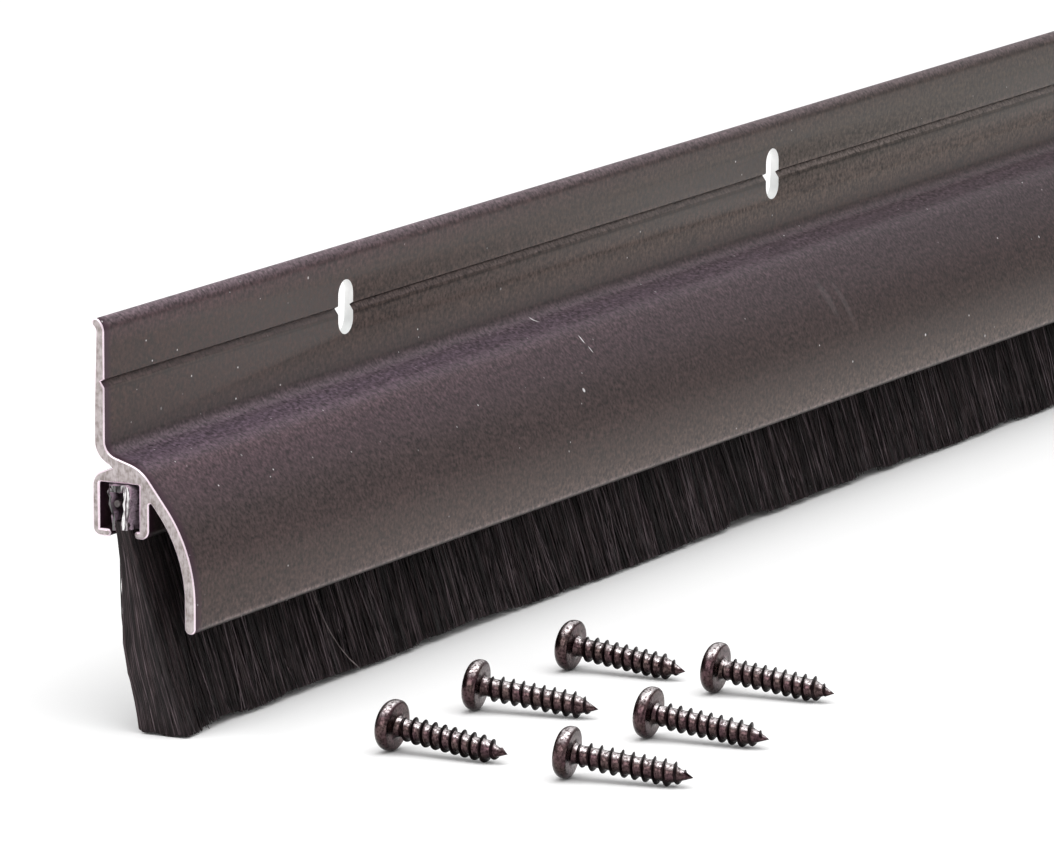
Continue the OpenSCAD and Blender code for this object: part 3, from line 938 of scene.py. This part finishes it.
def make_bristles(shades, core):
    """The strands: over half of them in the brush's front, a quarter in its back, the rest between, and some
    more in its end faces. They are cut into groups along the rail, each a piece of its own."""
    groups, count, at_ends = 10, 30400, 1600
    front_layers, back_layers, end_depth, loose_share = 0.52, 0.78, 1.3, 0.012
    hair_shade, hair_r = 3, 0.12
    random = np.random.default_rng(SEED)
    half = BRUSH_HALF - 0.2
    x = random.uniform(-half, half, count)
    layer = random.random(count)
    inside = random.random(count)
    back_or_middle = np.where(layer < back_layers, 0.18 * inside, 0.15 + 0.7 * inside)
    across = np.where(layer < front_layers, 1 - 0.14 * inside, back_or_middle)
    which_end = np.where(random.random(at_ends) < 0.5, -1, 1)
    ends = which_end * (half - end_depth * random.random(at_ends) ** 1.5)
    x = np.concatenate([x, ends])
    across = np.concatenate([across, random.random(at_ends) ** 1.3])
    loose = random.random(len(x)) < loose_share
    lines = strand_lines(x, across, loose, random, 1 - tip_line(x, across, half, random) / FAN_H)
    shade_of = np.where(loose, 2, strand_shades(x, across, half, random))
    radius = np.full(lines.shape[:2], mm(STRAND_R))
    radius *= random.uniform(0.75, 1.25, len(x))[:, None] * (1 + 0.15 * shade_of[:, None])
    lines = np.concatenate([lines, stray_hair()])
    radius = np.concatenate([radius, np.full((1, radius.shape[1]), mm(hair_r))])
    shade_of = np.append(shade_of, hair_shade)
    x = lines[:, 0, 0] / MM
    group = np.clip(((x + half) / (2 * half) * groups).astype(int), 0, groups - 1)
    for g in range(groups):
        chosen = group == g
        strand_tubes(f"bristles_{g + 1}", lines[chosen], radius[chosen], shade_of[chosen], shades)
    make_bristle_core(core)


def make_bristle_core(dark):
    """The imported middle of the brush, which the outer bristles hide."""
    cover, extra_lean, lean_from, short, steps = 0.42, 0.06, 6, 1.2, 14
    t = np.linspace(-0.03, 0.93, steps)
    back = [(u + cover, BACKING_FOOT - FAN_H * s) for u, s in zip(fan_back(np.maximum(t, 0)), t)]
    inner_front = fan_front(t) - cover - extra_lean * (fan_front(t) - lean_from)
    front = [(u, BACKING_FOOT - FAN_H * s) for u, s in zip(inner_front, t)]
    outline = back + front[::-1]
    near, far = brush_low.x + mm(short), brush_high.x - mm(short)
    points = [place(x, u, z) for x in (near, far) for u, z in outline]
    n = len(outline)
    faces = loops_to_faces(2, n) + [tuple(range(n))[::-1], tuple(range(n, 2 * n))]
    core = mesh_object("bristle_core", points, faces, [dark], sharp=60)
    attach(core, "strip_brush")
    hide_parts("bristles")


# ---- Screws ----

SCREW_LEN, THREAD_D, ROOT_D, PITCH = 19.05, 4.17, 2.9, 1.69
HEAD_D, HEAD_H, NECK, POINT = 8.0, 2.5, 0.5, 3.4
THREAD_START = 0.35
THREAD_TOP = SCREW_LEN - NECK
SCREW_LIES = [(-0.7, 30), (8.5, 105), (2, 150), (4, 225), (3.6, 285), (8.2, 330)]
RIB = [0, 0.28, 0.38, 0.455, 0.487, 0.513, 0.56, 0.66, 0.80]
SWELL = [0, 0.02, 0.20, 0.86, 1, 1, 0.86, 0.20, 0.02]
TURN_SIDES = 36


def rib_radius(z, swell):
    grow = min(1, max(0, z / POINT))
    fade = min(1, max(0, (THREAD_TOP - z) / PITCH))
    return ROOT_D / 2 * (0.06 + 0.94 * grow) + (THREAD_D - ROOT_D) / 2 * swell * grow ** 0.8 * fade


def thread_shell():
    """The threaded shank as one skin that winds up the core; a rib's last row is the first row of the
    rib one turn on."""
    last = round((THREAD_TOP - THREAD_START) / PITCH * TURN_SIDES)
    rows = len(RIB)
    points = []
    for i in range(last + 1):
        flat = direction(360 * i / TURN_SIDES)
        for share, swell in zip(RIB, SWELL):
            z = THREAD_START + PITCH * (i / TURN_SIDES + share)
            radius = rib_radius(z, swell)
            points.append((radius * flat[0], radius * flat[1], z))
    tip, top = len(points), len(points) + 1
    points += [(0, 0, 0), (0, 0, points[last * rows][2])]

    def index(i, k):
        return i * rows + k if k < rows else (i + TURN_SIDES) * rows

    faces, kinds = [], []
    for i in range(last):
        for k in range(rows):
            if index(i + 1, k + 1) < tip:
                faces.append((index(i, k), index(i + 1, k), index(i + 1, k + 1), index(i, k + 1)))
                kinds.append(1 if SWELL[k] + SWELL[(k + 1) % rows] > 1 else 0)
    low = [index(i, 0) for i in range(TURN_SIDES + 1)] + [index(0, k) for k in range(rows - 1, 0, -1)]
    high = [index(i, rows - 1) for i in range(last - TURN_SIDES, last + 1)]
    high += [index(last, k) for k in range(rows - 2, -1, -1)]
    faces += [(low[(j + 1) % len(low)], low[j], tip) for j in range(len(low))]
    faces += [(high[j], high[(j + 1) % len(high)], top) for j in range(len(high))]
    return points, faces, kinds + [0] * (len(faces) - len(kinds))


def lathe(profile, around):
    """A closed solid of revolution about Z; the profile starts and ends on the axis."""
    points = [(0, 0, profile[0][1])]
    for r, z in profile[1:-1]:
        points += [(*(r * direction(360 * k / around)), z) for k in range(around)]
    points.append((0, 0, profile[-1][1]))
    rings = len(profile) - 2
    faces = [tuple(v + 1 for v in f) for f in loops_to_faces(rings, around)]
    top = len(points) - 1
    for k in range(around):
        j = (k + 1) % around
        faces.append((0, 1 + j, 1 + k))
        faces.append((top, 1 + (rings - 1) * around + k, 1 + (rings - 1) * around + j))
    return points, faces


def recess_wing(turn):
    """One of the two tapered blades of the cross recess, as a cutter in millimetres."""
    head_top = SCREW_LEN + HEAD_H
    over, deep, half_w, foot_share = 0.5, 1.6, 0.42, 0.7
    half_l, foot_half_l = 2.35, 0.75
    corners = [(half_l, half_w, head_top + over), (foot_half_l, half_w * foot_share, head_top - deep)]
    points = []
    for x, y, z in corners:
        points += [(-x, -y, z), (x, -y, z), (x, y, z), (-x, y, z)]
    spin = Matrix.Rotation(math.radians(turn), 3, "Z")
    faces = [(0, 1, 2, 3), (7, 6, 5, 4), (0, 4, 5, 1), (1, 5, 6, 2), (2, 6, 7, 3), (3, 7, 4, 0)]
    return mesh_object("recess", [spin @ Vector(p) for p in points], faces, [])


def screw_mesh(plating, crest):
    """The whole screw in millimetres, its point at the origin and its head up the Z axis."""
    rim_h = 0.95
    shoulder = HEAD_H - rim_h
    flat_r, flat_drop = 1.4, 0.03
    r = HEAD_D / 2
    under = SCREW_LEN
    root, under_r = ROOT_D / 2, 0.6
    # The neck's fillet under the head: how far out from the thread's root, and how far below the head
    neck = [(-0.1, 1.4), (0.02, 0.7), (0.1, 0.4), (0.24, 0.16), (0.5, 0.02), (0.9, 0)]
    profile = [(0, under - neck[0][1])] + [(root + out, under - below) for out, below in neck]
    profile += [tuple(p) for p in arc((r - under_r, under + under_r), under_r, -90, 0)[::4]]
    profile += [tuple(p) for p in arc((r - shoulder, under + rim_h), shoulder, 0, 70)[::2]]
    profile += [(flat_r, under + HEAD_H - flat_drop), (0, under + HEAD_H)]
    head = mesh_object("screw_head", *lathe(profile, 72), [plating])
    for turn in (0, 90):
        cut(head, recess_wing(turn))
    shank_points, shank_faces, shank_kinds = thread_shell()
    first = len(head.data.vertices)
    points = [v.co[:] for v in head.data.vertices] + shank_points
    faces = [tuple(p.vertices) for p in head.data.polygons]
    kinds = [0] * len(faces) + shank_kinds
    faces += [tuple(v + first for v in f) for f in shank_faces]
    bpy.data.objects.remove(head)
    mesh = bpy.data.meshes.new("screw")
    mesh.from_pydata(points, [], faces)
    mesh.materials.append(plating)
    mesh.materials.append(crest)
    mesh.polygons.foreach_set("material_index", kinds)
    shade(mesh, 30)
    return mesh


def make_screws(plating, crest):
    """Each screw lies as its CAD node does: the same turn and spin, and the same box."""
    pattern = screw_mesh(plating, crest)
    recline = math.degrees(math.atan((HEAD_D / 2 - THREAD_D / 2) / (SCREW_LEN - POINT)))
    for number, (turn, spin) in enumerate(SCREW_LIES, 1):
        lie = (
            Matrix.Rotation(math.radians(turn - 90), 4, "Z")
            @ Matrix.Rotation(math.radians(recline - 90), 4, "Y")
            @ Matrix.Rotation(math.radians(spin), 4, "Z")
            @ Matrix.Scale(MM, 4)
        )
        mesh = pattern.copy()
        mesh.transform(lie)
        points = np.array([v.co for v in mesh.vertices])
        low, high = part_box(f"screw_{number}")
        shift = (np.array(low + high) - points.min(0) - points.max(0)) / 2
        mesh.transform(Matrix.Translation(Vector(shift)))
        screw = link(f"screw_{number}_drawn", mesh)
        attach(screw, f"screw_{number}_body")
        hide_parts(f"screw_{number}")


# ---- Floor and light ----

def make_floor(material):
    half = 12.0
    corners = [(-half, -half), (half, -half), (half, half), (-half, half)]
    floor = mesh_object("floor", [(x, y, FLOOR) for x, y in corners], [(0, 1, 2, 3)], [material])


def area_light(name, where, size, watts, aim):
    light = bpy.data.lights.new(name, "AREA")
    light.shape = "RECTANGLE"
    light.size, light.size_y = size
    light.energy = watts
    lamp = bpy.data.objects.new(name, light)
    lamp.location = where
    lamp.rotation_euler = (Vector(aim) - Vector(where)).to_track_quat("-Z", "Y").to_euler()
    bpy.context.scene.collection.objects.link(lamp)


def make_world():
    """A studio that is bright overhead and dim towards the horizon."""
    world = bpy.data.worlds.new("studio")
    bpy.context.scene.world = world
    world.use_nodes = True
    tree = world.node_tree
    split = tree.nodes.new("ShaderNodeSeparateXYZ")
    tree.links.new(tree.nodes.new("ShaderNodeTexCoord").outputs["Generated"], split.inputs[0])
    rise = tree.nodes.new("ShaderNodeMapRange")
    tree.links.new(split.outputs["Z"], rise.inputs["Value"])
    for name, value in (("From Min", 0.05), ("From Max", 0.65), ("To Min", 0.33), ("To Max", 0.92)):
        rise.inputs[name].default_value = value
    back = tree.nodes["Background"]
    back.inputs["Color"].default_value = (1, 1, 1, 1)
    tree.links.new(rise.outputs[0], back.inputs["Strength"])


def make_light():
    make_world()
    area_light("overhead", (-0.5, -0.4, 2.0), (1.9, 1.9), 21, aim=(-0.35, 0, 0))
    area_light("sparkle", (-0.85, 0.7, 1.4), (0.45, 0.45), 4, aim=(-0.4, 0, 0))
    area_light("fill", (-1.9, 0.3, 0.5), (1.2, 0.8), 6, aim=(NEAR_END, 0, 0))
    bpy.context.scene.view_settings.view_transform = "Standard"


make_camera()
make_rail(bronze_anodised(), sawn_aluminium(), rim_highlight(), punched_wall())
make_backing(crimped_steel(), sheared_steel())
make_wire(core_steel())
make_bristles(
    [
        bristle("bristle_black", (0.010, 0.0075, 0.008), (0.024, 0.017, 0.018)),
        bristle("bristle_brown", (0.025, 0.017, 0.018), (0.064, 0.044, 0.047)),
        bristle("bristle_light", (0.046, 0.033, 0.037), (0.132, 0.099, 0.108)),
        bristle("bristle_pale", (0.130, 0.105, 0.105), (0.260, 0.215, 0.215)),
    ],
    packed_bristle("bristle_shade", (0.008, 0.006, 0.006), (0.034, 0.024, 0.026)),
)
make_screws(
    screw_bronze("screw_bronze", (0.155, 0.107, 0.101), (0.026, 0.016, 0.016), 0.22, painted_shine=0.75),
    screw_bronze("screw_crest", (0.026, 0.017, 0.017), (0.008, 0.006, 0.006), 0.35, painted_shine=0.08),
)
make_floor(pale_floor())
make_light()
